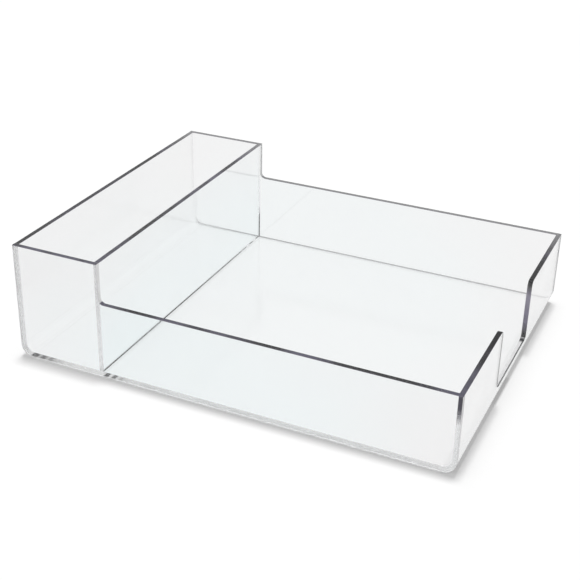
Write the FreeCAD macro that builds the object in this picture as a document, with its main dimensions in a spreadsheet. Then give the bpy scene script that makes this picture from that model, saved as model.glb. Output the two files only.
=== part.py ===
import FreeCAD, Part
import Sketcher
import os

# Clear acrylic desk tray with a tall side compartment.
# One sheet is bent into the floor, the tall left wall and the low right wall.
# A stepped panel closes its front, an equal one its back, and a divider between
# them makes the compartment. Everything is butt bonded, face to face.
# Frame: X to the right along the front, Y to the back, Z up. The origin is the
# centre of the underside.

document = FreeCAD.newDocument("DeskTray")

# Driving sizes, in millimetres.
SIZES = {
    # whole tray, outside
    "tray_width": "380",
    "tray_depth": "300",
    "low_wall_height": "68",
    "tall_wall_height": "103",
    # tall compartment, outside, with both of its walls
    "compartment_width": "80",
    # stock
    "sheet_gauge": "4",
    "bend_inner_radius": "7",
    # inside corner where the panels step down from the tall wall to the low one
    "step_fillet_radius": "4.5",
    # hand notch in the low right wall
    "notch_width": "89",
    "notch_sill_height": "14",
    "notch_corner_radius": "4.5",
    "notch_lip_radius": "5",
    # how far a cutting sketch runs past what it cuts
    "cut_overrun": "5",
}

sheet = document.addObject("Spreadsheet::Sheet", "Sizes")
for row, (alias, value) in enumerate(SIZES.items(), start=1):
    sheet.set("A%d" % row, alias)
    sheet.set("B%d" % row, value)
    sheet.setAlias("B%d" % row, alias)
document.recompute()

# Two places nearer than this share of the sheet gauge are the same place, and two
# volumes within this share of each other are equal.
SAME_PLACE_SHARE = 0.001


def size(alias):
    """A driving size as a number."""
    return float(sheet.get(alias))


def new_body(label):
    """A body whose label is the name of the piece."""
    body = document.addObject("PartDesign::Body", label)
    body.Label = label
    return body


def origin_plane(body, role):
    """One of the body's own origin planes."""
    for feature in body.Origin.OriginFeatures:
        if feature.Role == role:
            return feature
    raise ValueError("no origin plane called " + role)


def new_sketch(body, name, role):
    """A sketch that lies flat on an origin plane of its body."""
    sketch = body.newObject("Sketcher::SketchObject", name)
    sketch.AttachmentSupport = [(origin_plane(body, role), "")]
    sketch.MapMode = "FlatFace"
    return sketch


def draw_outline(sketch, corners):
    """A closed outline through the corners. Line n runs from corner n to the next one."""
    points = [FreeCAD.Vector(across, up, 0) for across, up in corners]
    count = len(points)
    for index in range(count):
        line = Part.LineSegment(points[index], points[(index + 1) % count])
        sketch.addGeometry(line, False)
    for index in range(count):
        joint = Sketcher.Constraint("Coincident", index, 2, (index + 1) % count, 1)
        sketch.addConstraint(joint)


def square_up(sketch, level_lines, upright_lines):
    """Hold lines horizontal or vertical."""
    for line in level_lines:
        sketch.addConstraint(Sketcher.Constraint("Horizontal", line))
    for line in upright_lines:
        sketch.addConstraint(Sketcher.Constraint("Vertical", line))


def dimension(sketch, name, kind, first, second, expression):
    """A distance from the first point to the second, bound to the driving sizes."""
    start_value = sketch.evalExpression(expression)
    if hasattr(start_value, "Value"):
        start_value = start_value.Value
    index = sketch.addConstraint(Sketcher.Constraint(kind, *first, *second, start_value))
    sketch.renameConstraint(index, name)
    sketch.setExpression("Constraints." + name, expression)


# A sketch's own origin point, as its constraints name it.
ORIGIN_POINT = (-1, 1)


def pad(body, sketch, name, length_expression, both_ways=False):
    """Thicken a sketch, one way or half each way."""
    feature = body.newObject("PartDesign::Pad", name)
    feature.Profile = sketch
    if both_ways:
        feature.SideType = "Symmetric"
    feature.setExpression("Length", length_expression)
    document.recompute()
    return feature


def round_edges(body, base, name, places, radius_expression):
    """Round the edges of the base that pass through the places."""
    near = SAME_PLACE_SHARE * size("sheet_gauge")
    names = []
    for place in places:
        spot = Part.Vertex(FreeCAD.Vector(*place))
        found = ["Edge%d" % (number + 1) for number, edge in enumerate(base.Shape.Edges)
                 if edge.distToShape(spot)[0] < near]
        if len(found) != 1:
            raise ValueError("%s: %d edges at %s" % (name, len(found), place))
        names += found
    feature = body.newObject("PartDesign::Fillet", name)
    feature.Base = (base, names)
    feature.setExpression("Radius", radius_expression)
    document.recompute()
    return feature


def make_bent_sheet():
    """Floor and both end walls: a U bent from one sheet, with the hand notch cut out."""
    half_width = size("tray_width") / 2
    gauge = size("sheet_gauge")
    low = size("low_wall_height")
    tall = size("tall_wall_height")
    sill = size("notch_sill_height")
    half_notch = size("notch_width") / 2

    body = new_body("bent_tray_sheet")
    profile = new_sketch(body, "bent_profile", "XZ_Plane")
    draw_outline(profile, [
        (-half_width, 0), (half_width, 0),
        (half_width, low), (half_width - gauge, low),
        (half_width - gauge, gauge), (gauge - half_width, gauge),
        (gauge - half_width, tall), (-half_width, tall)])
    square_up(profile, level_lines=(0, 2, 4, 6), upright_lines=(1, 3, 5, 7))
    profile.addConstraint(Sketcher.Constraint("Symmetric", 0, 1, 0, 2, *ORIGIN_POINT))
    dimension(profile, "outside_width", "DistanceX", (0, 1), (0, 2), "Sizes.tray_width")
    dimension(profile, "right_wall", "DistanceY", (1, 1), (1, 2), "Sizes.low_wall_height")
    dimension(profile, "left_wall", "DistanceY", (7, 2), (7, 1), "Sizes.tall_wall_height")
    dimension(profile, "right_gauge", "DistanceX", (2, 2), (2, 1), "Sizes.sheet_gauge")
    dimension(profile, "left_gauge", "DistanceX", (6, 2), (6, 1), "Sizes.sheet_gauge")
    dimension(profile, "floor_gauge", "DistanceY", (0, 1), (4, 2), "Sizes.sheet_gauge")
    blank = pad(body, profile, "square_blank",
                "Sizes.tray_depth - 2 * Sizes.sheet_gauge", both_ways=True)

    outer_bends = round_edges(
        body, blank, "outer_bends", [(-half_width, 0, 0), (half_width, 0, 0)],
        "Sizes.bend_inner_radius + Sizes.sheet_gauge")
    inner_bends = round_edges(
        body, outer_bends, "inner_bends",
        [(gauge - half_width, 0, gauge), (half_width - gauge, 0, gauge)],
        "Sizes.bend_inner_radius")

    # The notch is sketched on the middle plane and cut to the right, so that only
    # the low wall meets it.
    opening = new_sketch(body, "notch_outline", "YZ_Plane")
    top = low + size("cut_overrun")
    draw_outline(opening, [(-half_notch, sill), (half_notch, sill),
                           (half_notch, top), (-half_notch, top)])
    square_up(opening, level_lines=(0, 2), upright_lines=(1, 3))
    dimension(opening, "notch_width", "DistanceX", (0, 1), (0, 2), "Sizes.notch_width")
    dimension(opening, "from_middle", "DistanceX", (0, 1), ORIGIN_POINT,
              "Sizes.notch_width / 2")
    dimension(opening, "sill_height", "DistanceY", ORIGIN_POINT, (0, 1),
              "Sizes.notch_sill_height")
    dimension(opening, "cut_height", "DistanceY", (1, 1), (1, 2),
              "Sizes.low_wall_height - Sizes.notch_sill_height + Sizes.cut_overrun")
    notch = body.newObject("PartDesign::Pocket", "hand_notch")
    notch.Profile = opening
    notch.Reversed = True
    notch.setExpression("Length", "Sizes.tray_width / 2 + Sizes.cut_overrun")
    document.recompute()
    removed = inner_bends.Shape.Volume - notch.Shape.Volume
    expected = size("notch_width") * (low - sill) * gauge
    if abs(removed - expected) > SAME_PLACE_SHARE * expected:
        raise ValueError("the notch removed %.1f, not %.1f" % (removed, expected))

    mid_wall = half_width - gauge / 2
    corners = round_edges(
        body, notch, "notch_corners",
        [(mid_wall, side * half_notch, sill) for side in (-1, 1)],
        "Sizes.notch_corner_radius")
    round_edges(
        body, corners, "notch_lips",
        [(mid_wall, side * half_notch, low) for side in (-1, 1)],
        "Sizes.notch_lip_radius")
    return body


def make_stepped_panel(label, plane_offset):
    """Front or back panel: tall at the compartment, low along the tray."""
    half_width = size("tray_width") / 2
    low = size("low_wall_height")
    tall = size("tall_wall_height")
    step = size("compartment_width") - half_width

    body = new_body(label)
    profile = new_sketch(body, label + "_profile", "XZ_Plane")
    profile.setExpression("AttachmentOffset.Base.z", plane_offset)
    draw_outline(profile, [(-half_width, 0), (half_width, 0), (half_width, low),
                           (step, low), (step, tall), (-half_width, tall)])
    square_up(profile, level_lines=(0, 2, 4), upright_lines=(1, 3, 5))
    profile.addConstraint(Sketcher.Constraint("Symmetric", 0, 1, 0, 2, *ORIGIN_POINT))
    dimension(profile, "outside_width", "DistanceX", (0, 1), (0, 2), "Sizes.tray_width")
    dimension(profile, "low_end", "DistanceY", (1, 1), (1, 2), "Sizes.low_wall_height")
    dimension(profile, "tall_end", "DistanceY", (5, 2), (5, 1), "Sizes.tall_wall_height")
    dimension(profile, "tall_width", "DistanceX", (4, 2), (4, 1),
              "Sizes.compartment_width")
    plate = pad(body, profile, label + "_plate", "Sizes.sheet_gauge")

    mid_plate = plate.Shape.CenterOfMass.y
    bottom_corners = round_edges(
        body, plate, label + "_bottom_corners",
        [(-half_width, mid_plate, 0), (half_width, mid_plate, 0)],
        "Sizes.bend_inner_radius + Sizes.sheet_gauge")
    round_edges(body, bottom_corners, label + "_step_fillet",
                [(step, mid_plate, low)], "Sizes.step_fillet_radius")
    return body


def make_divider():
    """Inner wall of the compartment. It stands on the floor, between the panels."""
    half_width = size("tray_width") / 2
    gauge = size("sheet_gauge")
    right = size("compartment_width") - half_width
    left = right - gauge
    tall = size("tall_wall_height")

    body = new_body("compartment_divider")
    profile = new_sketch(body, "divider_profile", "XZ_Plane")
    draw_outline(profile, [(left, gauge), (right, gauge), (right, tall), (left, tall)])
    square_up(profile, level_lines=(0, 2), upright_lines=(1, 3))
    dimension(profile, "gauge", "DistanceX", (0, 1), (0, 2), "Sizes.sheet_gauge")
    dimension(profile, "seat_height", "DistanceY", ORIGIN_POINT, (0, 2),
              "Sizes.sheet_gauge")
    dimension(profile, "wall_height", "DistanceY", (1, 1), (1, 2),
              "Sizes.tall_wall_height - Sizes.sheet_gauge")
    dimension(profile, "from_middle", "DistanceX", (0, 2), ORIGIN_POINT,
              "Sizes.tray_width / 2 - Sizes.compartment_width")
    pad(body, profile, "divider_plate",
        "Sizes.tray_depth - 2 * Sizes.sheet_gauge", both_ways=True)
    return body


# The panel sketches face the front, so an offset brings them forward and their
# plates grow towards the front.
bodies = [
    make_bent_sheet(),
    make_stepped_panel("front_panel", "Sizes.tray_depth / 2 - Sizes.sheet_gauge"),
    make_stepped_panel("back_panel", "-Sizes.tray_depth / 2"),
    make_divider(),
]
document.recompute()

for item in document.Objects:
    if "Invalid" in item.State or "Error" in item.State:
        raise ValueError(item.Name + " failed to build")
for body in bodies:
    if body.Shape.isNull() or not body.Shape.isValid() or len(body.Shape.Solids) != 1:
        raise ValueError(body.Label + " is not one valid solid")

os.makedirs("parts", exist_ok=True)
for body in bodies:
    body.Shape.exportStep("parts/%s.step" % body.Label)
    box = body.Shape.BoundBox
    print("%s: %.1f x %.1f x %.1f mm, %.1f cm3" % (
        body.Label, box.XLength, box.YLength, box.ZLength, body.Shape.Volume / 1000))
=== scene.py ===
import math
from collections import namedtuple
import bpy
from mathutils import Matrix, Vector
from mathutils.geometry import delaunay_2d_cdt


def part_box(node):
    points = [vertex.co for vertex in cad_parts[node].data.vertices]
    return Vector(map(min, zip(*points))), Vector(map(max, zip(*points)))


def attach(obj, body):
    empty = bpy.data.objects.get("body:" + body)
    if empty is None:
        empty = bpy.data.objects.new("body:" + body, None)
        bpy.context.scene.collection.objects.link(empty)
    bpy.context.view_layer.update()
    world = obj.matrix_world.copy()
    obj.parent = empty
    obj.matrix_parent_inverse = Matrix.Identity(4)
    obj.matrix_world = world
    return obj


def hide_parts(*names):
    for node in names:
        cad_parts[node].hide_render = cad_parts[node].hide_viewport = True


# Clear acrylic desk tray: a bent sheet for the floor and both end walls, a stepped
# panel at the front and another at the back, and the divider of the tall compartment.
# Each piece is a sheet with polished, slightly eased edges. Where two pieces are
# bonded, light goes straight from one into the other through a thin line of cement.

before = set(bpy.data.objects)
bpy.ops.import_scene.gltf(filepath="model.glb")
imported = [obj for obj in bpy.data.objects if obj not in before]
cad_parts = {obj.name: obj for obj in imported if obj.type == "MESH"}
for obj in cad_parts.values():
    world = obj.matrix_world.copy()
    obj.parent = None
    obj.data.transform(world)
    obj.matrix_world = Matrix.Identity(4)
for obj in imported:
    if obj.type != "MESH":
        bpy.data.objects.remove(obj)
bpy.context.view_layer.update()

MM = 0.001
QUARTER_TURN = math.radians(90)

# Sizes, from the frame. The front panel is low to the right of PAST_STEP.
panel_low, panel_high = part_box("front_panel")
GAUGE = panel_high.y - panel_low.y
LEFT, RIGHT = panel_low.x, panel_high.x
FRONT, BACK = panel_low.y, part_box("back_panel")[1].y
TALL = panel_high.z
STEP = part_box("compartment_divider")[1].x
PAST_STEP = STEP + GAUGE * 2
LOW = max(vertex.co.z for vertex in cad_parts["front_panel"].data.vertices
          if vertex.co.x > PAST_STEP)

# Radii and the hand notch, as on the solids.
BEND_INSIDE = 7 * MM
BEND_OUTSIDE = BEND_INSIDE + GAUGE
STEP_FILLET = 4.5 * MM
NOTCH_WIDTH = 89 * MM
NOTCH_SILL = 14 * MM
NOTCH_CORNER = 4.5 * MM
NOTCH_LIP = 5 * MM

# Edges: how far the polishing eases an arris, and the gap kept between bonded faces.
EASE = 0.3 * MM
EASE_STEPS = 3
BOND_GAP = 0.01 * MM
ARC_STEPS = 10
BEND_STEPS = 16

# The bent sheet and the divider fill the space between the panels.
INNER_FRONT = FRONT + GAUGE + BOND_GAP
INNER_BACK = BACK - GAUGE - BOND_GAP

# Camera at the photograph's view, solved from the tray's corners and edges.
IMAGE_WIDTH = 580
CAMERA_PLACE = Vector((356.1, -827.9, 511.6)) * MM
CAMERA_AZIMUTH = math.radians(25.45)
CAMERA_ELEVATION = math.radians(27.17)
CAMERA_ROLL = math.radians(0.613)
FOCAL_PIXELS = 1165.5
CENTRE_PIXEL = (261.7, 276.3)
SENSOR_WIDTH = 36

# The two faces of a sheet, and how far an edge is eased on each of them.
FIRST, SECOND = 0, 1
EASED = (EASE, EASE)
FIRST_EASED = (EASE, 0)
SECOND_EASED = (0, EASE)
BONDED = (0, 0)

# Two edges whose turn has a smaller sine than this run on smoothly.
SMOOTH_TURN = 0.01

# A spot on a drawn line this near to a vertex is that vertex.
SAME_SPOT = EASE * 1.5

# What the triangulation gives back, and how near its points can be.
ALL_TRIANGLES = 0
CDT_REACH = 1e-8

# Material slots of every piece.
FACE, BEND_FACE, SHADING_FACE, DARK_EDGE, CUT_EDGE, BOND = range(6)

# A rim is a vertex of an outline, with the outward directions of the edges before and
# after it. Axes belong to one place on a sheet, and out is the way its first face looks.
Rim = namedtuple("Rim", "point before after ease_before ease_after edge")
Corner = namedtuple("Corner", "x y radius ease edge stops",
                    defaults=(0, EASED, DARK_EDGE, ()))
Axes = namedtuple("Axes", "origin along up out")


def trace_outline(corners):
    """Vertices of an outline that runs anticlockwise through its corners.

    A corner's ease, edge and stops belong to the edge after it: how far that edge is
    eased on both faces, its material slot, and the places along it that need a vertex.
    """
    rims = []
    count = len(corners)
    for index, corner in enumerate(corners):
        here = Vector((corner.x, corner.y))
        last, following = corners[index - 1], corners[(index + 1) % count]
        into = (here - Vector((last.x, last.y))).normalized()
        out = (Vector((following.x, following.y)) - here).normalized()
        before, after = Vector((into.y, -into.x)), Vector((out.y, -out.x))
        if corner.radius:
            turn = math.atan2(into.x * out.y - into.y * out.x, into.dot(out))
            reach = corner.radius * math.tan(abs(turn) / 2)
            bulge = math.copysign(1, turn)
            centre = here - into * reach - before * corner.radius * bulge
            for step in range(ARC_STEPS + 1):
                normal = Matrix.Rotation(turn * step / ARC_STEPS, 2) @ before
                ease = last.ease if step == 0 else corner.ease
                edge = last.edge if step < ARC_STEPS / 2 else corner.edge
                rims.append(Rim(centre + normal * corner.radius * bulge,
                                normal, normal, ease, ease, edge))
        else:
            rims.append(Rim(here, before, after, last.ease, corner.ease, corner.edge))
        for stop in sorted(corner.stops, key=lambda spot: (Vector(spot) - here).length):
            rims.append(Rim(Vector(stop), after, after, corner.ease, corner.ease,
                            corner.edge))
    return rims


def step_in(rim, side, share):
    """Where a vertex lies once its two edges have moved inwards by a share of their ease."""
    before = rim.ease_before[side] * share
    after = rim.ease_after[side] * share
    a, b = rim.before, rim.after
    turn = a.x * b.y - a.y * b.x
    if abs(turn) < SMOOTH_TURN:
        return rim.point - a * before
    across = (after * a.y - before * b.y) / turn
    up = (before * b.x - after * a.x) / turn
    return rim.point + Vector((across, up))


def inside(spot, outline):
    """True inside the outline: a line to the right crosses it an odd number of times."""
    crossings = 0
    for start, stop in zip(outline, outline[1:] + outline[:1]):
        if (start.y > spot.y) != (stop.y > spot.y):
            share = (spot.y - start.y) / (stop.y - start.y)
            crossings += start.x + (stop.x - start.x) * share > spot.x
    return crossings % 2 == 1


class Sheet:
    """A closed mesh of one sheet: an outline with eased rims, laid flat or bent."""

    def __init__(self, corners, axes_at):
        self.rims = trace_outline(corners)
        self.axes_at = axes_at
        self.numbers = {}
        self.places = []
        self.faces = []
        self.normals = []
        self.slots = []

    def vertex(self, key, flat, height):
        """The number of the vertex with this key, made at its first use."""
        if key not in self.numbers:
            axes = self.axes_at(flat.x)
            self.numbers[key] = len(self.places)
            self.places.append(axes.origin + axes.up * flat.y + axes.out * height)
        return self.numbers[key]

    def rim_vertex(self, side, level, index):
        """A vertex of one ring of an eased rim. Level 0 lies in the face."""
        rim = self.rims[index]
        ease = max(rim.ease_before[side], rim.ease_after[side])
        if not ease:
            level = 0
        angle = QUARTER_TURN * level / EASE_STEPS
        flat = step_in(rim, side, 1 - math.sin(angle))
        height = GAUGE / 2 - ease * (1 - math.cos(angle))
        return self.vertex((side, level, index), flat, -height if side else height)

    def add_face(self, numbers, normals, slot):
        """A face without the corners that have fallen together."""
        kept = [at for at, number in enumerate(numbers) if number != numbers[at - 1]]
        if len(kept) < 3:
            return
        self.faces.append([numbers[at] for at in kept])
        self.normals += [normals[at] for at in kept]
        self.slots.append(slot)

    def add_rims(self):
        """The edge all round: both eased arrises and the cut face between them."""
        levels = [(FIRST, level) for level in range(EASE_STEPS + 1)]
        levels += [(SECOND, level) for level in range(EASE_STEPS, -1, -1)]
        count = len(self.rims)
        for index in range(count):
            ends = (index, (index + 1) % count)
            starts, stops = self.rims[ends[0]], self.rims[ends[1]]
            flats = (starts.after, stops.before)
            eases = [max(starts.ease_after[side], stops.ease_before[side])
                     for side in (FIRST, SECOND)]
            slot = starts.edge if max(eases) else BOND
            for upper, lower in zip(levels, levels[1:]):
                corners = [(upper, 0), (lower, 0), (lower, 1), (upper, 1)]
                numbers = [self.rim_vertex(*level, ends[end]) for level, end in corners]
                normals = [self.rim_normal(level, ends[end], flats[end], eases)
                           for level, end in corners]
                self.add_face(numbers, normals, slot)

    def rim_normal(self, ring, index, flat, eases):
        """The surface's direction at one vertex of an eased rim."""
        side, level = ring
        axes = self.axes_at(self.rims[index].point.x)
        outward = axes.along * flat.x + axes.up * flat.y
        if not eases[side]:
            return outward
        angle = QUARTER_TURN * level / EASE_STEPS
        facing = -axes.out if side else axes.out
        return outward * math.sin(angle) + facing * math.cos(angle)

    def add_side(self, side, lines, slot_at):
        """One broad face, with an edge along each of the lines drawn on it."""
        count = len(self.rims)
        flats = [step_in(rim, side, 1) for rim in self.rims]
        keys = [self.rim_vertex(side, 0, index) for index in range(count)]
        height = -GAUGE / 2 if side else GAUGE / 2
        drawn = []
        for line in lines:
            path = []
            for spot in map(Vector, line):
                near = min(range(len(flats)), key=lambda at: (flats[at] - spot).length)
                if (flats[near] - spot).length > SAME_SPOT:
                    near = len(flats)
                    flats.append(spot)
                    keys.append(self.vertex(("line", side, near), spot, height))
                path.append(near)
            drawn += list(zip(path, path[1:]))
        outline = list(zip(range(count), [*range(1, count), 0]))
        _, _, triangles, sources, _, _ = delaunay_2d_cdt(
            flats, outline + drawn, [], ALL_TRIANGLES, CDT_REACH, True)
        for triangle in triangles:
            corners = [sources[number][0] for number in triangle]
            if side:
                corners.reverse()
            middle = sum((flats[at] for at in corners), Vector((0, 0))) / 3
            if not inside(middle, flats[:count]):
                continue
            normals = [self.axes_at(flats[at].x).out * (-1 if side else 1)
                       for at in corners]
            self.add_face([keys[at] for at in corners], normals, slot_at(middle))

    def finish(self, name, materials):
        """The mesh as an object, which make_tray then sets on the tray's one body."""
        mesh = bpy.data.meshes.new(name)
        mesh.from_pydata(self.places, [], self.faces)
        for material in materials:
            mesh.materials.append(material)
        mesh.polygons.foreach_set("material_index", self.slots)
        mesh.polygons.foreach_set("use_smooth", [True] * len(self.faces))
        mesh.update()
        mesh.normals_split_custom_set([normal.normalized() for normal in self.normals])
        piece = bpy.data.objects.new(name, mesh)
        bpy.context.scene.collection.objects.link(piece)
        return piece


def all_clear(spot):
    """For a face that nothing is bonded to."""
    return FACE


def all_shading(spot):
    """For a face at the front or the right, where the tray throws its shadow."""
    return SHADING_FACE


def flat_axes(origin, along, up):
    """The axes of a sheet that isn't bent."""
    along, up = Vector(along), Vector(up)
    out = along.cross(up)
    return lambda across: Axes(Vector(origin) + along * across, along, up, out)


# Path of the bent sheet's middle surface, as lengths from the top of the left wall.
BEND_MIDDLE = BEND_INSIDE + GAUGE / 2
BEND_LENGTH = BEND_MIDDLE * QUARTER_TURN
LEFT_BEND = TALL - BEND_OUTSIDE
FLOOR_START = LEFT_BEND + BEND_LENGTH
FLOOR_STOP = FLOOR_START + RIGHT - LEFT - BEND_OUTSIDE * 2
RIGHT_WALL = FLOOR_STOP + BEND_LENGTH
SHEET_LENGTH = RIGHT_WALL + LOW - BEND_OUTSIDE


def bent_axes(along):
    """The axes of the bent sheet, that length along its path."""
    if along < LEFT_BEND:
        place, heading = (LEFT + GAUGE / 2, TALL - along), (0, -1)
    elif along < FLOOR_START:
        angle = (along - LEFT_BEND) / BEND_MIDDLE
        place = (LEFT + BEND_OUTSIDE - BEND_MIDDLE * math.cos(angle),
                 BEND_OUTSIDE - BEND_MIDDLE * math.sin(angle))
        heading = (math.sin(angle), -math.cos(angle))
    elif along < FLOOR_STOP:
        place = (LEFT + BEND_OUTSIDE + along - FLOOR_START, GAUGE / 2)
        heading = (1, 0)
    elif along < RIGHT_WALL:
        angle = (along - FLOOR_STOP) / BEND_MIDDLE
        place = (RIGHT - BEND_OUTSIDE + BEND_MIDDLE * math.sin(angle),
                 BEND_OUTSIDE - BEND_MIDDLE * math.cos(angle))
        heading = (math.cos(angle), math.sin(angle))
    else:
        place = (RIGHT - GAUGE / 2, BEND_OUTSIDE + along - RIGHT_WALL)
        heading = (0, 1)
    return Axes(Vector((place[0], 0, place[1])), Vector((heading[0], 0, heading[1])),
                Vector((0, 1, 0)), Vector((-heading[1], 0, heading[0])))


def floor_length(x):
    """Where a place across the floor lies on the bent sheet's path."""
    return FLOOR_START + x - LEFT - BEND_OUTSIDE


def make_bent_sheet(materials):
    """Floor, both bends, the tall left wall and the low right wall with its notch."""
    front, back = INNER_FRONT, INNER_BACK
    bends = [start + BEND_LENGTH * step / BEND_STEPS
             for start in (LEFT_BEND, FLOOR_STOP) for step in range(BEND_STEPS + 1)]
    foot = [floor_length(STEP - GAUGE), floor_length(STEP)]
    half_notch = NOTCH_WIDTH / 2
    sill = RIGHT_WALL + NOTCH_SILL - BEND_OUTSIDE
    corners = [
        Corner(0, front, 0, BONDED, BOND, [(stop, front) for stop in bends + foot]),
        Corner(SHEET_LENGTH, front),
        Corner(SHEET_LENGTH, -half_notch, NOTCH_LIP),
        Corner(sill, -half_notch, NOTCH_CORNER, EASED, CUT_EDGE),
        Corner(sill, half_notch, NOTCH_CORNER),
        Corner(SHEET_LENGTH, half_notch, NOTCH_LIP),
        Corner(SHEET_LENGTH, back, 0, BONDED, BOND,
               [(stop, back) for stop in bends + foot]),
        Corner(0, back),
    ]
    sheet = Sheet(corners, bent_axes)
    bend_lines = [[(stop, front), (stop, back)] for stop in bends]
    foot_lines = [[(stop, front), (stop, back)] for stop in foot]

    def outer_slot_at(spot):
        if spot.x > RIGHT_WALL:
            return SHADING_FACE
        return BEND_FACE if spot.x > FLOOR_STOP else FACE

    sheet.add_side(FIRST, bend_lines + foot_lines,
                   lambda spot: BOND if foot[0] < spot.x < foot[1] else FACE)
    sheet.add_side(SECOND, bend_lines, outer_slot_at)
    sheet.add_rims()
    return sheet.finish("acrylic_bent_sheet", materials)


def make_panel(name, plane, bonded_side, outer_slot_at, materials):
    """A stepped panel. Its bonded side meets the bent sheet and the divider."""
    seam = SECOND_EASED if bonded_side == FIRST else FIRST_EASED
    inside_left, inside_right = LEFT + GAUGE, RIGHT - GAUGE
    tall_stops = [(x, TALL) for x in (inside_left, STEP - GAUGE)]
    corners = [
        Corner(LEFT, 0, BEND_OUTSIDE, seam, CUT_EDGE),
        Corner(RIGHT, 0, BEND_OUTSIDE, seam, CUT_EDGE),
        Corner(RIGHT, LOW, 0, EASED, DARK_EDGE, [(inside_right, LOW)]),
        Corner(STEP, LOW, STEP_FILLET, seam, CUT_EDGE),
        Corner(STEP, TALL, 0, EASED, DARK_EDGE, tall_stops),
        Corner(LEFT, TALL, 0, seam, CUT_EDGE),
    ]
    panel = Sheet(corners, flat_axes((0, plane, 0), (1, 0, 0), (0, 0, 1)))

    def bend_point(centre_x, degrees):
        angle = math.radians(degrees)
        return (centre_x + BEND_INSIDE * math.cos(angle),
                BEND_OUTSIDE + BEND_INSIDE * math.sin(angle))

    turns = [90 * step / BEND_STEPS for step in range(BEND_STEPS + 1)]
    left_bend = [bend_point(LEFT + BEND_OUTSIDE, 180 + turn) for turn in turns]
    right_bend = [bend_point(RIGHT - BEND_OUTSIDE, 270 + turn) for turn in turns]
    feet = [(STEP - GAUGE, GAUGE), (STEP, GAUGE)]
    profile = [(inside_left, TALL), *left_bend, *feet, *right_bend, (inside_right, LOW)]
    divider_sides = [[feet[0], (STEP - GAUGE, TALL)], [feet[1], (STEP, LOW + STEP_FILLET)]]

    def inner_slot_at(spot):
        if STEP - GAUGE < spot.x < STEP or spot.y < GAUGE:
            return BOND
        if not inside_left < spot.x < inside_right:
            return BOND
        for centre_x in (LEFT + BEND_OUTSIDE, RIGHT - BEND_OUTSIDE):
            from_centre = spot - Vector((centre_x, BEND_OUTSIDE))
            beyond = from_centre.x * centre_x > 0 and from_centre.y < 0
            if beyond and from_centre.length > BEND_INSIDE:
                return BOND
        return FACE

    panel.add_side(bonded_side, [profile, *divider_sides], inner_slot_at)
    panel.add_side(1 - bonded_side, [], outer_slot_at)
    panel.add_rims()
    return panel.finish(name, materials)


def make_divider(materials):
    """The compartment's inner wall, bonded to the floor and to both panels."""
    foot = GAUGE + BOND_GAP
    corners = [
        Corner(INNER_FRONT, foot, 0, BONDED, BOND),
        Corner(INNER_BACK, foot, 0, BONDED, BOND),
        Corner(INNER_BACK, TALL),
        Corner(INNER_FRONT, TALL, 0, BONDED, BOND),
    ]
    divider = Sheet(corners, flat_axes((STEP - GAUGE / 2, 0, 0), (0, 1, 0), (0, 0, 1)))
    divider.add_side(FIRST, [], all_clear)
    divider.add_side(SECOND, [], all_clear)
    divider.add_rims()
    return divider.finish("acrylic_divider", materials)


def add_node(tree, kind, inputs=None, **settings):
    """A shader node with its settings. An input is a value or a socket to link from."""
    made = tree.nodes.new("ShaderNode" + kind)
    for name, value in settings.items():
        setattr(made, name, value)
    for name, value in (inputs or {}).items():
        if isinstance(value, bpy.types.NodeSocket):
            tree.links.new(value, made.inputs[name])
        else:
            made.inputs[name].default_value = value
    return made


def new_material(name):
    """A material without nodes, and its tree."""
    material = bpy.data.materials.new(name)
    material.use_nodes = True
    material.node_tree.nodes.clear()
    return material, material.node_tree


def add_math(tree, operation, first, second):
    """The result of one sum, limited to 0 to 1."""
    return add_node(tree, "Math", {0: first, 1: second}, operation=operation,
                    use_clamp=True).outputs[0]


def add_distance(tree, place, spot):
    """How far a place is from a spot."""
    return add_node(tree, "VectorMath", {0: place, 1: spot},
                    operation="DISTANCE").outputs["Value"]


def stretch(tree, place, factors):
    """A place with each of its three numbers multiplied."""
    return add_node(tree, "VectorMath", {0: place, 1: factors},
                    operation="MULTIPLY").outputs["Vector"]


def map_range(tree, value, low, high, first=0, last=1):
    """The value's place between low and high, as a number between first and last."""
    mapped = add_node(tree, "MapRange", {
        "Value": value, "From Min": low, "From Max": high, "To Min": first,
        "To Max": last})
    return mapped.outputs["Result"]


def mix_numbers(tree, share, first, second):
    """Two numbers mixed, the second by the share."""
    return map_range(tree, share, 0, 1, first, second)


def mix_colours(tree, share, first, second):
    """Two colours mixed, the second by the share."""
    mixed = add_node(tree, "Mix", {0: share, 6: first, 7: second}, data_type="RGBA")
    return mixed.outputs[2]


def mix_shaders(tree, share, first, second):
    """Two shaders mixed, the second by the share."""
    return add_node(tree, "MixShader", {0: share, 1: first, 2: second}).outputs[0]


def add_place(tree):
    """Where on the tray a point lies, and the same as three numbers."""
    place = add_node(tree, "TexCoord").outputs["Object"]
    return place, add_node(tree, "SeparateXYZ", {"Vector": place}).outputs


def add_noise(tree, place, scale):
    """Soft noise of that many waves to the metre."""
    noise = add_node(tree, "TexNoise", {"Vector": place, "Scale": scale,
                                        "Detail": NOISE_DETAIL})
    return noise.outputs["Fac"]


def facing_up(tree):
    """How far the surface faces upwards."""
    normal = add_node(tree, "NewGeometry").outputs["Normal"]
    return add_node(tree, "SeparateXYZ", {"Vector": normal}).outputs["Z"]


def met_inside(tree):
    """1 where light meets the surface from inside the sheet."""
    return add_node(tree, "NewGeometry").outputs["Backfacing"]


def add_plain(tree, colour):
    """A surface that scatters light."""
    return add_node(tree, "BsdfDiffuse", {"Color": colour}).outputs[0]


def add_film(tree, tint):
    """A surface that light passes straight through."""
    return add_node(tree, "BsdfTransparent", {"Color": tint}).outputs[0]


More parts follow.
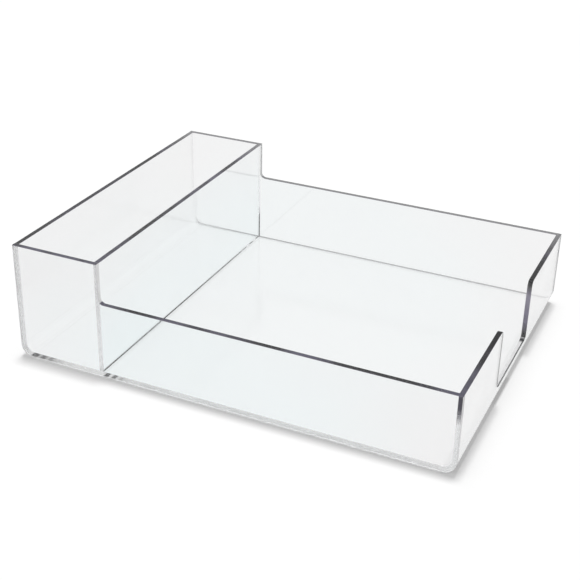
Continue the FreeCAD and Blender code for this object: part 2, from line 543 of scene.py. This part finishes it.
def show(tree, surface, passed):
    """The surface as seen. Light that falls on the floor passes with that tint."""
    path = add_node(tree, "LightPath")
    plain = add_math(tree, "ADD", path.outputs["Is Shadow Ray"],
                     path.outputs["Diffuse Depth"])
    shown = mix_shaders(tree, plain, surface, add_film(tree, passed))
    add_node(tree, "OutputMaterial", {"Surface": shown})


WHITE = (1, 1, 1, 1)
IOR = 1.49

# Noise lies mostly between the first two, and has that many finer layers.
NOISE_LOW = 0.35
NOISE_HIGH = 0.65
NOISE_DETAIL = 2

# Faces: clear, a little cooler towards the tray's middle.
COOL_TINT = (0.962, 0.986, 0.99, 1)
NEUTRAL_TINT = (0.971, 0.971, 0.973, 1)
COOL_SHAPE = (1, 0.6, 1.5)
COOL_MIDDLE = (-20 * MM, 12 * MM, 0)
COOL_WITHIN = 170 * MM
COOL_UNTIL = 250 * MM
COOL_DRIFT = 80 * MM
COOL_SCALE = 6
ROUGHNESS_LEAST = 0.03
ROUGHNESS_MOST = 0.07
RUBBED_SCALE = 30
WORN_ROUGHNESS = 0.15

# What a face lets pass of the light that falls on the floor. A shading face lets less
# pass where the light grazes it.
FACE_PASS = (0.99, 0.99, 0.99, 1)
BEND_PASS = (0.25, 0.25, 0.25, 1)
SHADED = (0.12, 0.12, 0.12, 1)
GRAZING_BLEND = 0.5
GRAZING_FROM = 0.75
GRAZING_TO = 0.83

# Tops of the upper edges, painted with the dark reflection and shade they gather: charcoal
# and violet by turns, painted paler at the back, and painted black near the notch's lips.
TURNS_LOW = 0.4
TURNS_HIGH = 0.6
TURNS_SCALE = 25
CHARCOAL = (0.025, 0.025, 0.027, 1)
VIOLET = (0.1, 0.095, 0.13, 1)
PAINTED_PALE_REAR = (0.23, 0.23, 0.235, 1)
REAR_FROM = 100 * MM
REAR_TO = 150 * MM
PAINTED_BLACK = (0.006, 0.006, 0.007, 1)
BLACK_WITHIN = 25 * MM
BLACK_UNTIL = 75 * MM

# Sides of the same edges, painted with shade and dark reflection: mauve and lavender by
# turns. The notch's sides are painted dark low down and beside the lips.
MAUVE = (0.27, 0.255, 0.33, 1)
LAVENDER = (0.4, 0.38, 0.47, 1)
SIDE_PAINTED_DARK = (0.12, 0.12, 0.122, 1)
SIDE_DARK_UNTIL = 18 * MM
SIDE_LIT_FROM = 31 * MM
SIDE_LIP_WITHIN = 5 * MM
SIDE_LIP_UNTIL = 16 * MM

# Either of them: its painted dark as seen from inside the sheet, and its polish.
PAINTED_DARK_INSIDE = (0.01, 0.01, 0.012, 1)
EDGE_ROUGHNESS = 0.2
EDGE_SPECULAR = 0.15
EDGE_CLEARNESS = 0.1
EDGE_PASS = (0.5, 0.5, 0.5, 1)

# Other cut edges, satin from the saw; painted shade at the back, on the sill and undersides.
CUT_WHITE = (0.95, 0.95, 0.955, 1)
CUT_REAR_PAINTED_SHADE = (0.5, 0.5, 0.505, 1)
CUT_PAINTED_SHADE = (0.07, 0.07, 0.075, 1)
CUT_PASS = (0.3, 0.3, 0.3, 1)
SILL_SHADE_LINE = 1.2 * MM
SILL_SHADE_FROM = NOTCH_WIDTH / 2 - 9 * MM
SILL_SHADE_TO = NOTCH_WIDTH / 2 - 5 * MM
SATIN_LEAST = 0.62
SATIN_MOST = 0.7
SATIN_REAR_LEFT = 0.03
FRONT_FOOT_PAINTED_SHADE = 0.05
REAR_FOOT_PAINTED_SHADE = 0.58
SAW_SCALE = 160

# Bonded ends, with a haze of cement in upright streaks, thinner at the foot and the back.
HAZE_WHITE = (0.925, 0.925, 0.955, 1)
# Grey of the painted dark reflection at the feet.
PAINTED_REFLECTION_GREY = (0.22, 0.22, 0.23, 1)
HAZE_LEAST = 0.13
HAZE_MOST = 0.2
HAZE_SCALE = 160
UPRIGHT_STREAKS = (1, 1, 0.05)
FRONT_ENDS_TO = FRONT + GAUGE * 2
REAR_HAZE = 0.25
FOOT_TOP = GAUGE * 1.2
FOOT_HAZE = 0.7

# The feet are painted with dark reflection: FOOT_WHITE white at the left, then whiter, to
# all white in the middle. A grey spot of painted reflection has its middle's place across
# the tray and its reach.
FOOT_WHITE = 0.2
FOOT_GREY_UNTIL = -80 * MM
PAINTED_REFLECTION_SPOTS = ((LEFT + 30 * MM, 20 * MM), (LEFT + 88 * MM, 9 * MM))
SPOT_FADE = 5 * MM

# The right wall's front end has painted shade, darker upwards between these heights.
END_SHADE_FROM = LOW - 26 * MM
END_SHADE_TO = LOW - 10 * MM


def add_clear(tree):
    """Clear acrylic, here and there a little dulled.

    Use has softened the floor's upper face and the inside of the tall left wall.
    """
    place, parts = add_place(tree)
    from_middle = add_distance(tree, stretch(tree, place, COOL_SHAPE), COOL_MIDDLE)
    drift = add_math(tree, "MULTIPLY", add_noise(tree, place, COOL_SCALE), COOL_DRIFT)
    reach = add_math(tree, "ADD", from_middle, drift)
    share = map_range(tree, reach, COOL_WITHIN, COOL_UNTIL)
    dulled = map_range(tree, add_noise(tree, place, RUBBED_SCALE), NOISE_LOW,
                       NOISE_HIGH, ROUGHNESS_LEAST, ROUGHNESS_MOST)
    on_floor = add_math(tree, "LESS_THAN", parts["Z"], GAUGE + EASE)
    on_left_wall = add_math(
        tree, "MULTIPLY", add_math(tree, "LESS_THAN", parts["X"], LEFT + GAUGE + EASE),
        add_math(tree, "GREATER_THAN", parts["Y"], FRONT + GAUGE))
    worn = add_math(tree, "SUBTRACT", add_math(tree, "MAXIMUM", on_floor, on_left_wall),
                    met_inside(tree))
    clear = add_node(tree, "BsdfPrincipled", {
        "Base Color": mix_colours(tree, share, COOL_TINT, NEUTRAL_TINT),
        "Roughness": mix_numbers(tree, worn, dulled, WORN_ROUGHNESS),
        "IOR": IOR, "Transmission Weight": 1})
    return clear.outputs[0]


def make_face_material(name, passed):
    """Clear polished acrylic."""
    material, tree = new_material(name)
    show(tree, add_clear(tree), passed)
    return material


def make_shading_material():
    """The same acrylic where it turns lamp light away that only grazes it."""
    material, tree = new_material("clear_acrylic_shading_face")
    angle = add_node(tree, "LayerWeight", {"Blend": GRAZING_BLEND})
    grazing = map_range(tree, angle.outputs["Facing"], GRAZING_FROM, GRAZING_TO)
    show(tree, add_clear(tree), mix_colours(tree, grazing, FACE_PASS, SHADED))
    return material


def make_dark_edge_material():
    """An upper edge or a side of the notch, painted with the dark of the room that it
    gathers.

    Tops are painted blackest near the notch's lips, and across from them on the left wall.
    """
    material, tree = new_material("polished_acrylic_edge_painted_dark")
    place, parts = add_place(tree)
    turns = map_range(tree, add_noise(tree, place, TURNS_SCALE), TURNS_LOW, TURNS_HIGH)
    mirrored = add_node(tree, "VectorMath", {0: place}, operation="ABSOLUTE")
    from_lip = add_distance(tree, mirrored.outputs["Vector"],
                            (RIGHT, NOTCH_WIDTH / 2, LOW))
    rear = map_range(tree, parts["Y"], REAR_FROM, REAR_TO)
    away = map_range(tree, from_lip, BLACK_WITHIN, BLACK_UNTIL)
    turned_top = mix_colours(tree, turns, CHARCOAL, VIOLET)
    top = mix_colours(tree, away, PAINTED_BLACK, mix_colours(tree, rear, turned_top, PAINTED_PALE_REAR))
    lit = add_math(tree, "MULTIPLY",
                   map_range(tree, parts["Z"], SIDE_DARK_UNTIL, SIDE_LIT_FROM),
                   map_range(tree, from_lip, SIDE_LIP_WITHIN, SIDE_LIP_UNTIL))
    turned_side = mix_colours(tree, turns, MAUVE, LAVENDER)
    side = mix_colours(tree, lit, SIDE_PAINTED_DARK, turned_side)
    colour = mix_colours(tree, facing_up(tree), side, top)
    edge = add_node(tree, "BsdfPrincipled", {
        "Base Color": mix_colours(tree, met_inside(tree), colour, PAINTED_DARK_INSIDE),
        "Roughness": EDGE_ROUGHNESS, "IOR": IOR,
        "Specular IOR Level": EDGE_SPECULAR, "Transmission Weight": EDGE_CLEARNESS})
    show(tree, edge.outputs[0], EDGE_PASS)
    return material


def make_cut_edge_material():
    """A cut edge left satin, but clearer at the tray's rear left.

    The notch's sill has painted shade along its outer side and at its rear end. The
    underside of the back panel is painted half dark with shade, and that of the front panel
    a little.
    The back panel's satin is painted grey for shade.
    """
    material, tree = new_material("satin_acrylic_edge_painted_shade")
    place, parts = add_place(tree)
    at_back = add_math(tree, "GREATER_THAN", parts["Y"], BACK - GAUGE - EASE)
    sill = add_math(tree, "MULTIPLY", facing_up(tree),
                    add_math(tree, "LESS_THAN", parts["Y"], NOTCH_WIDTH / 2))
    sill_side = add_math(tree, "MULTIPLY", sill,
                         add_math(tree, "GREATER_THAN", parts["X"], RIGHT - SILL_SHADE_LINE))
    sill_end = add_math(tree, "MULTIPLY", sill,
                        map_range(tree, parts["Y"], SILL_SHADE_FROM, SILL_SHADE_TO))
    # Painted shade: the panels' undersides, and the sill's outer side and rear end.
    foot = add_math(tree, "MULTIPLY", add_math(tree, "LESS_THAN", parts["Z"], GAUGE),
                    mix_numbers(tree, at_back, FRONT_FOOT_PAINTED_SHADE, REAR_FOOT_PAINTED_SHADE))
    dark = add_math(tree, "MAXIMUM", foot, add_math(tree, "MAXIMUM", sill_side, sill_end))
    # The back panel's satin is painted grey for shade.
    pale = mix_colours(tree, at_back, CUT_WHITE, CUT_REAR_PAINTED_SHADE)
    satin = add_plain(tree, mix_colours(tree, dark, pale, CUT_PAINTED_SHADE))
    marks = map_range(tree, add_noise(tree, place, SAW_SCALE), NOISE_LOW, NOISE_HIGH,
                      SATIN_LEAST, SATIN_MOST)
    rear_left = add_math(tree, "MULTIPLY", at_back,
                         add_math(tree, "LESS_THAN", parts["X"], LEFT + EASE))
    cover = add_math(tree, "MULTIPLY", marks,
                     mix_numbers(tree, rear_left, 1, SATIN_REAR_LEFT))
    surface = mix_shaders(tree, add_math(tree, "MAXIMUM", cover, sill_end),
                          add_clear(tree), satin)
    at_front = add_math(tree, "LESS_THAN", parts["Y"], 0)
    show(tree, surface, mix_colours(tree, at_front, FACE_PASS, CUT_PASS))
    return material


def make_bond_material():
    """A cemented sheet end.

    The cement is thinner at the floor's front end and thinnest at the back. The feet are
    painted with dark reflection, greyer at the left and in two spots. The front end of the
    right wall has painted shade, darker towards the edge above it.
    """
    material, tree = new_material("solvent_bond_painted_shade")
    place, parts = add_place(tree)
    streaks = add_noise(tree, stretch(tree, place, UPRIGHT_STREAKS), HAZE_SCALE)
    haze = map_range(tree, streaks, NOISE_LOW, NOISE_HIGH, HAZE_LEAST, HAZE_MOST)
    foot = add_math(tree, "LESS_THAN", parts["Z"], FOOT_TOP)
    front_ends = add_math(tree, "MULTIPLY",
                          add_math(tree, "LESS_THAN", parts["Y"], FRONT_ENDS_TO),
                          mix_numbers(tree, foot, 1, FOOT_HAZE))
    rear_ends = add_math(tree, "MULTIPLY", REAR_HAZE,
                         add_math(tree, "GREATER_THAN", parts["Y"], 0))
    cover = add_math(tree, "MULTIPLY", haze,
                     add_math(tree, "MAXIMUM", front_ends, rear_ends))
    # Painted dark reflection at the feet: greyer at the left and in two spots.
    foot_white = map_range(tree, parts["X"], FOOT_GREY_UNTIL, 0, FOOT_WHITE, 1)
    white = mix_numbers(tree, foot, 1, foot_white)
    for across, within in PAINTED_REFLECTION_SPOTS:
        away = add_distance(tree, place, (across, FRONT + GAUGE, 0))
        white = add_math(tree, "MULTIPLY", white,
                         map_range(tree, away, within, within + SPOT_FADE))
    cement = add_plain(tree, mix_colours(tree, white, PAINTED_REFLECTION_GREY, HAZE_WHITE))
    hazy = mix_shaders(tree, cover, add_film(tree, WHITE), cement)
    # Painted shade on the right wall's front end, darker upwards.
    front_right = add_math(
        tree, "MULTIPLY", add_math(tree, "LESS_THAN", parts["Y"], 0),
        add_math(tree, "GREATER_THAN", parts["X"], RIGHT - BEND_OUTSIDE))
    shade = add_math(tree, "MULTIPLY", front_right,
                     map_range(tree, parts["Z"], END_SHADE_FROM, END_SHADE_TO))
    show(tree, mix_shaders(tree, shade, hazy, add_plain(tree, VIOLET)), WHITE)
    return material


def make_tray():
    """All four pieces, each in place of its solid."""
    materials = [make_face_material("clear_acrylic_face", FACE_PASS),
                 make_face_material("clear_acrylic_bend", BEND_PASS),
                 make_shading_material(),
                 make_dark_edge_material(),
                 make_cut_edge_material(),
                 make_bond_material()]
    front_plane, back_plane = FRONT + GAUGE / 2, BACK - GAUGE / 2
    pieces = {
        "bent_tray_sheet": make_bent_sheet(materials),
        "front_panel": make_panel("acrylic_front_panel", front_plane, SECOND,
                                  all_shading, materials),
        "back_panel": make_panel("acrylic_back_panel", back_plane, FIRST,
                                 all_clear, materials),
        "compartment_divider": make_divider(materials),
    }
    for node, piece in pieces.items():
        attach(piece, "root")
        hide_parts(node)


FLOOR_SIZE = 8
FLOOR_DROP = 0.3 * MM
FLOOR_WHITE = (0.87, 0.87, 0.87, 1)
FLOOR_GLOW = 0.16
FLOOR_SHOWN_IN_GLASS = 0.94
FLAT_IN_GLASS = 0.85


def seen_in_glass(tree):
    """1 for rays that show the background in a mirror or through glass.

    Light that has met a plain surface on its way doesn't count, because it lights it.
    """
    path = add_node(tree, "LightPath")
    seen = add_math(tree, "MAXIMUM", path.outputs["Is Glossy Ray"],
                    path.outputs["Is Transmission Ray"])
    return add_math(tree, "SUBTRACT", seen, path.outputs["Diffuse Depth"])


def make_floor():
    """A plain white floor that keeps the tray's shadow."""
    half = FLOOR_SIZE / 2
    mesh = bpy.data.meshes.new("studio_floor")
    mesh.from_pydata([(-half, -half, -FLOOR_DROP), (half, -half, -FLOOR_DROP),
                      (half, half, -FLOOR_DROP), (-half, half, -FLOOR_DROP)],
                     [], [(0, 1, 2, 3)])
    floor = bpy.data.objects.new("studio_floor", mesh)
    bpy.context.scene.collection.objects.link(floor)
    material, tree = new_material("white_floor")
    path = add_node(tree, "LightPath")
    direct = add_math(tree, "MULTIPLY", path.outputs["Is Camera Ray"], FLOOR_GLOW)
    glow = add_node(tree, "Emission", {"Color": WHITE, "Strength": direct})
    both = add_node(tree, "AddShader", {0: add_plain(tree, FLOOR_WHITE),
                                        1: glow.outputs[0]})
    flat = add_node(tree, "Emission", {"Color": WHITE, "Strength": FLOOR_SHOWN_IN_GLASS})
    share = add_math(tree, "MULTIPLY", seen_in_glass(tree), FLAT_IN_GLASS)
    shown = mix_shaders(tree, share, both.outputs[0], flat.outputs[0])
    add_node(tree, "OutputMaterial", {"Surface": shown})
    mesh.materials.append(material)


WORLD_LIGHT = 0.45
KEY_LIGHT = 0.55 * math.pi
KEY_HEADING = Vector((0.03, -0.09, -1))
KEY_SPREAD = 0.16


def make_light():
    """A white surround and one soft lamp above, a little to the left and behind."""
    world = bpy.data.worlds.new("white_studio")
    world.use_nodes = True
    tree = world.node_tree
    tree.nodes.clear()
    path = add_node(tree, "LightPath")
    seen = add_math(tree, "ADD", path.outputs["Is Camera Ray"], seen_in_glass(tree))
    background = add_node(tree, "Background", {
        "Color": WHITE, "Strength": mix_numbers(tree, seen, WORLD_LIGHT, 1)})
    add_node(tree, "OutputWorld", {"Surface": background.outputs[0]})
    bpy.context.scene.world = world

    lamp = bpy.data.lights.new("key_light", "SUN")
    lamp.energy = KEY_LIGHT
    lamp.angle = KEY_SPREAD
    key = bpy.data.objects.new("key_light", lamp)
    key.rotation_euler = KEY_HEADING.to_track_quat("-Z", "Y").to_euler()
    bpy.context.scene.collection.objects.link(key)


def make_camera():
    """The photograph's view."""
    azimuth, elevation = CAMERA_AZIMUTH, CAMERA_ELEVATION
    back = Vector((math.sin(azimuth) * math.cos(elevation),
                   -math.cos(azimuth) * math.cos(elevation), math.sin(elevation)))
    right = (-back).cross(Vector((0, 0, 1))).normalized()
    up = back.cross(right)
    across = right * math.cos(CAMERA_ROLL) + up * math.sin(CAMERA_ROLL)
    upward = up * math.cos(CAMERA_ROLL) - right * math.sin(CAMERA_ROLL)
    data = bpy.data.cameras.new("camera")
    data.sensor_width = SENSOR_WIDTH
    data.lens = FOCAL_PIXELS * SENSOR_WIDTH / IMAGE_WIDTH
    middle = IMAGE_WIDTH / 2
    data.shift_x = (middle - CENTRE_PIXEL[0]) / IMAGE_WIDTH
    data.shift_y = (CENTRE_PIXEL[1] - middle) / IMAGE_WIDTH
    camera = bpy.data.objects.new("camera", data)
    camera.matrix_world = Matrix.Translation(CAMERA_PLACE) @ Matrix(
        (across, upward, back)).transposed().to_4x4()
    bpy.context.scene.collection.objects.link(camera)
    bpy.context.scene.camera = camera


make_tray()
make_floor()
make_light()
make_camera()

# Light is turned often inside the sheets, and passes many clear faces.
TURNS_IN_SHEET = 128
CLEAR_FACES_PASSED = 64

scene = bpy.context.scene
scene.view_settings.view_transform = "Standard"
scene.cycles.max_bounces = TURNS_IN_SHEET
scene.cycles.glossy_bounces = TURNS_IN_SHEET
scene.cycles.transmission_bounces = CLEAR_FACES_PASSED
scene.cycles.transparent_max_bounces = CLEAR_FACES_PASSED
